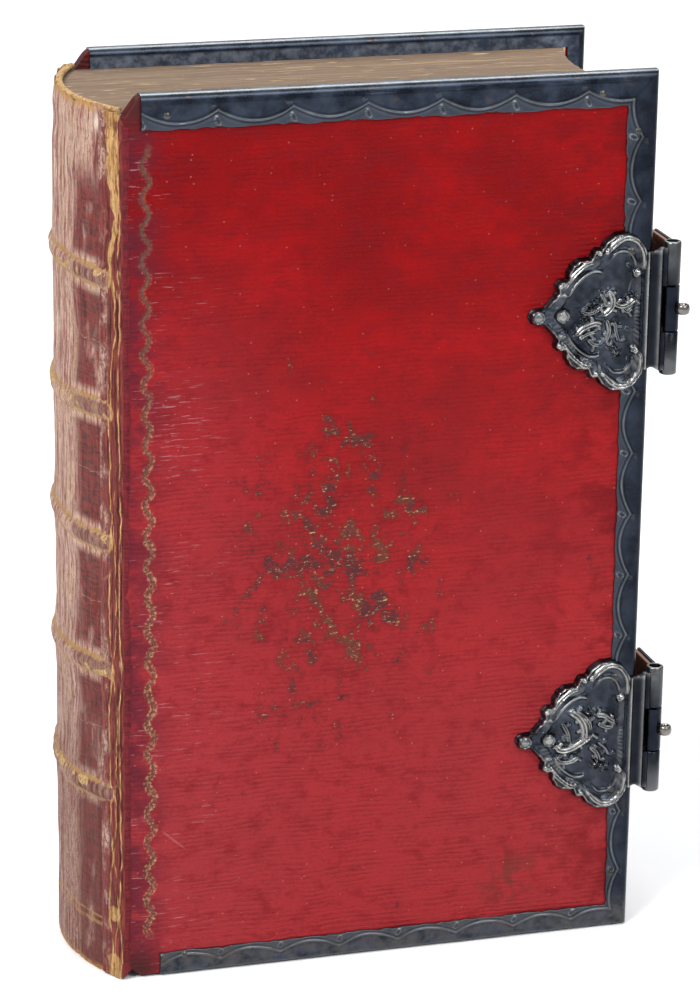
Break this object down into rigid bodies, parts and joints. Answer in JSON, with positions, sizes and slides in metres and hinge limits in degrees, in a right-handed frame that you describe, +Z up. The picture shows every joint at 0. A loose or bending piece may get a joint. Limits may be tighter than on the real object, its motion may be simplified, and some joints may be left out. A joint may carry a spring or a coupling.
{
  "type": "clasped bible",
  "caption": "Thick leather-bound bible with raised-band spine, scalloped metal edge rails and hinged strap clasps; covers, flyleaves and clasps open.",
  "frame": {"origin": "centre of the bounding box's footprint, on the surface the tail edge stands on", "axes": "+Z up the book from tail to head, +X from spine to fore-edge, +Y from front cover to back cover"},
  "size_m": [0.13, 0.0534, 0.19],
  "materials": {
    "text_paper": "aged leaf edges, matte",
    "endpaper": "plain laid endpaper, matte",
    "pasteboard": "grey-brown pasteboard, matte",
    "cover_leather": "red straight-grained morocco, satin",
    "spine_leather": "faded rubbed morocco, satin",
    "strap_leather": "dark red-brown strap, satin",
    "silver": "tarnished silver, satin",
    "cord": "hemp cord, matte",
    "endband": "sewn thread roll, matte"
  },
  "bodies": {
    "book_block": {"text_block": "text_paper", "spine_lining": "endpaper", "sewing_cords": "cord", "spine_leather": "spine_leather", "headband": "endband", "tailband": "endband"},
    "front_cover": {"front_board": "pasteboard", "front_cover_leather": "cover_leather", "front_pastedown": "endpaper", "front_head_rail": "silver", "front_fore_edge_rail": "silver", "front_tail_rail": "silver", "front_rail_nails": "silver", "front_plate_rivets": "silver", "lower_catch_plate": "silver", "lower_catch_pin": "silver", "upper_catch_plate": "silver", "upper_catch_pin": "silver"},
    "back_cover": {"back_board": "pasteboard", "back_cover_leather": "cover_leather", "back_pastedown": "endpaper", "back_head_rail": "silver", "back_fore_edge_rail": "silver", "back_tail_rail": "silver", "back_rail_nails": "silver", "back_plate_rivets": "silver", "lower_hinge_plate": "silver", "lower_hinge_pin": "silver", "upper_hinge_plate": "silver", "upper_hinge_pin": "silver"},
    "front_flyleaf": {"front_flyleaf": "endpaper"},
    "back_flyleaf": {"back_flyleaf": "endpaper"},
    "lower_clasp": {"lower_strap": "strap_leather", "lower_hook": "silver", "lower_arm_knuckle": "silver", "lower_thumb_ring": "silver", "lower_strap_rivets": "silver"},
    "upper_clasp": {"upper_strap": "strap_leather", "upper_hook": "silver", "upper_arm_knuckle": "silver", "upper_thumb_ring": "silver", "upper_strap_rivets": "silver"}
  },
  "joints": [
    {"name": "front_cover_hinge", "type": "hinge", "parent": "book_block", "child": "front_cover", "pos_m": [-0.05594, -0.02364, 0.095], "axis": [0, 0, -1], "range_deg": [0, 180]},
    {"name": "back_cover_hinge", "type": "hinge", "parent": "book_block", "child": "back_cover", "pos_m": [-0.05594, 0.02446, 0.095], "axis": [0, 0, 1], "range_deg": [0, 180]},
    {"name": "front_flyleaf_turn", "type": "hinge", "parent": "book_block", "child": "front_flyleaf", "pos_m": [-0.05554, -0.02001, 0.095], "axis": [0, 0, -1], "range_deg": [0, 90]},
    {"name": "back_flyleaf_turn", "type": "hinge", "parent": "book_block", "child": "back_flyleaf", "pos_m": [-0.05554, 0.02084, 0.095], "axis": [0, 0, 1], "range_deg": [0, 90]},
    {"name": "lower_clasp_hinge", "type": "hinge", "parent": "back_cover", "child": "lower_clasp", "pos_m": [0.06146, 0.02411, 0.0455], "axis": [0, 0, 1], "range_deg": [0, 165]},
    {"name": "upper_clasp_hinge", "type": "hinge", "parent": "back_cover", "child": "upper_clasp", "pos_m": [0.06146, 0.02411, 0.1395], "axis": [0, 0, 1], "range_deg": [0, 165]}
  ],
  "couplings": [
    {"joint": "front_flyleaf_turn", "follows": "front_cover_hinge", "ratio": 0.5},
    {"joint": "back_flyleaf_turn", "follows": "back_cover_hinge", "ratio": 0.5}
  ]
}
